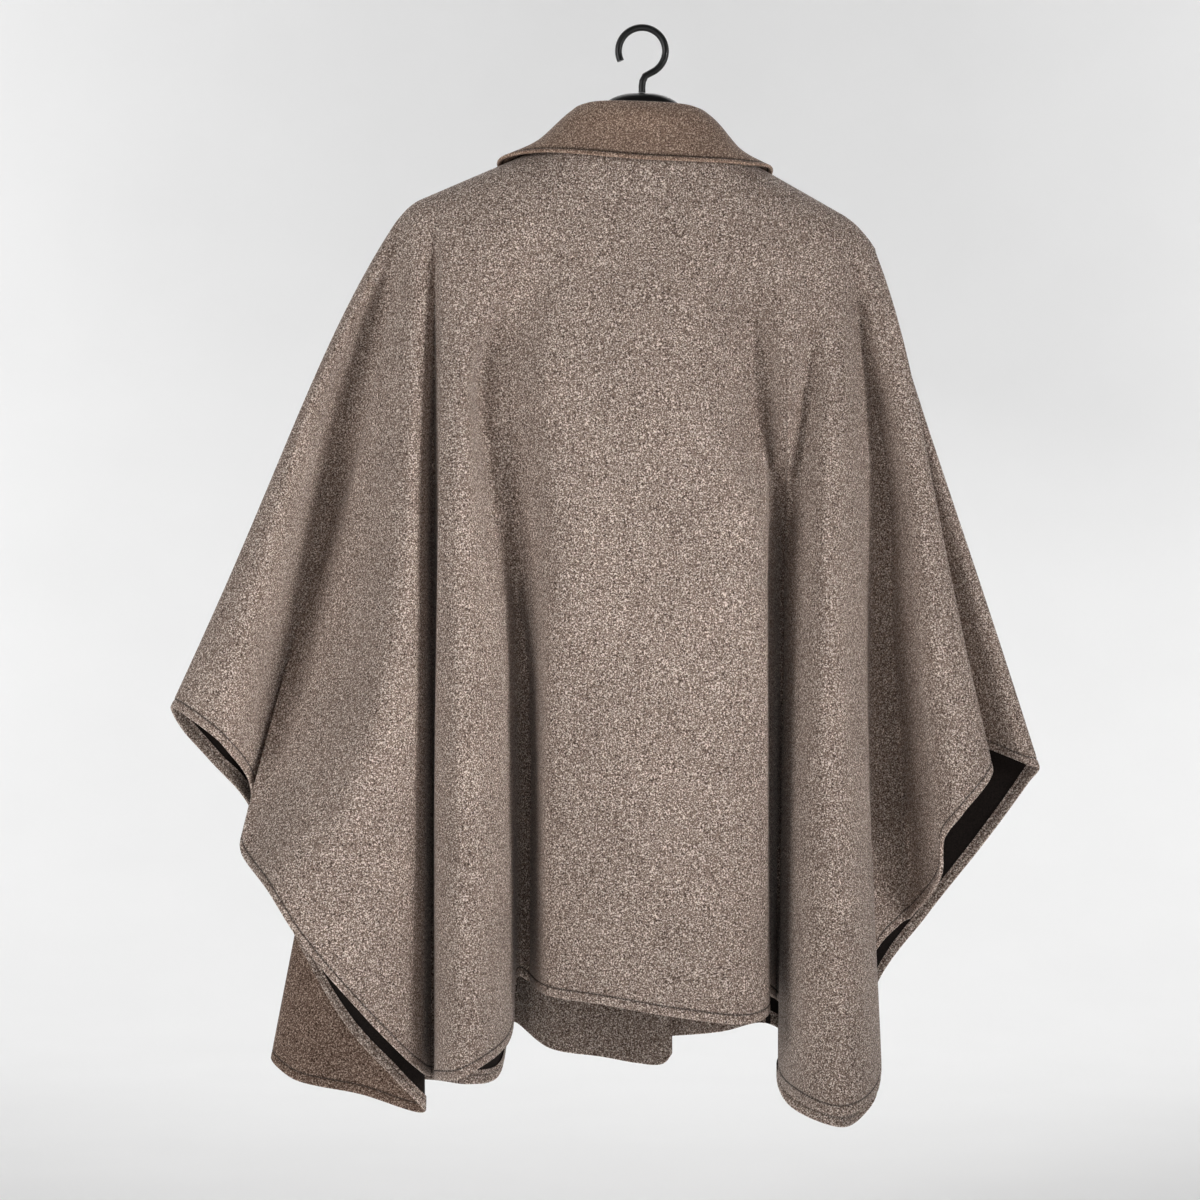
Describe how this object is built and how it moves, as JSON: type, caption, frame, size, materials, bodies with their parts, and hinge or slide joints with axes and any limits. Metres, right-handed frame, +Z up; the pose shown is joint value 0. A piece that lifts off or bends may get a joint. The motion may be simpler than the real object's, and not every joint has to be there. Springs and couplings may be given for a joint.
{
  "type": "poncho on a hanger",
  "caption": "Hip-length cape poncho with a fold-over collar, a lapped front and pointed side wings, hanging in deep folds on a shaped hanger.",
  "frame": {"origin": "seat of the hanger's hook, where the rail carries it", "axes": "+X to the right of someone looking at the garment's back, +Y from its back to its front, +Z up"},
  "size_m": [0.87, 0.2533, 1.1151],
  "materials": {
    "fleck_cloth": "brushed wool coating with light and dark flecks on a dark back",
    "black_plastic": "moulded, satin"
  },
  "bodies": {
    "root": {"back": "fleck_cloth", "front_left": "fleck_cloth", "front_right": "fleck_cloth", "collar": "fleck_cloth", "hem_turn_back": "fleck_cloth", "hem_turn_front_left": "fleck_cloth", "hem_turn_front_right": "fleck_cloth", "facing_front_left": "fleck_cloth", "facing_front_right": "fleck_cloth", "hanger_bar": "black_plastic", "hanger_hook": "black_plastic"}
  },
  "joints": []
}
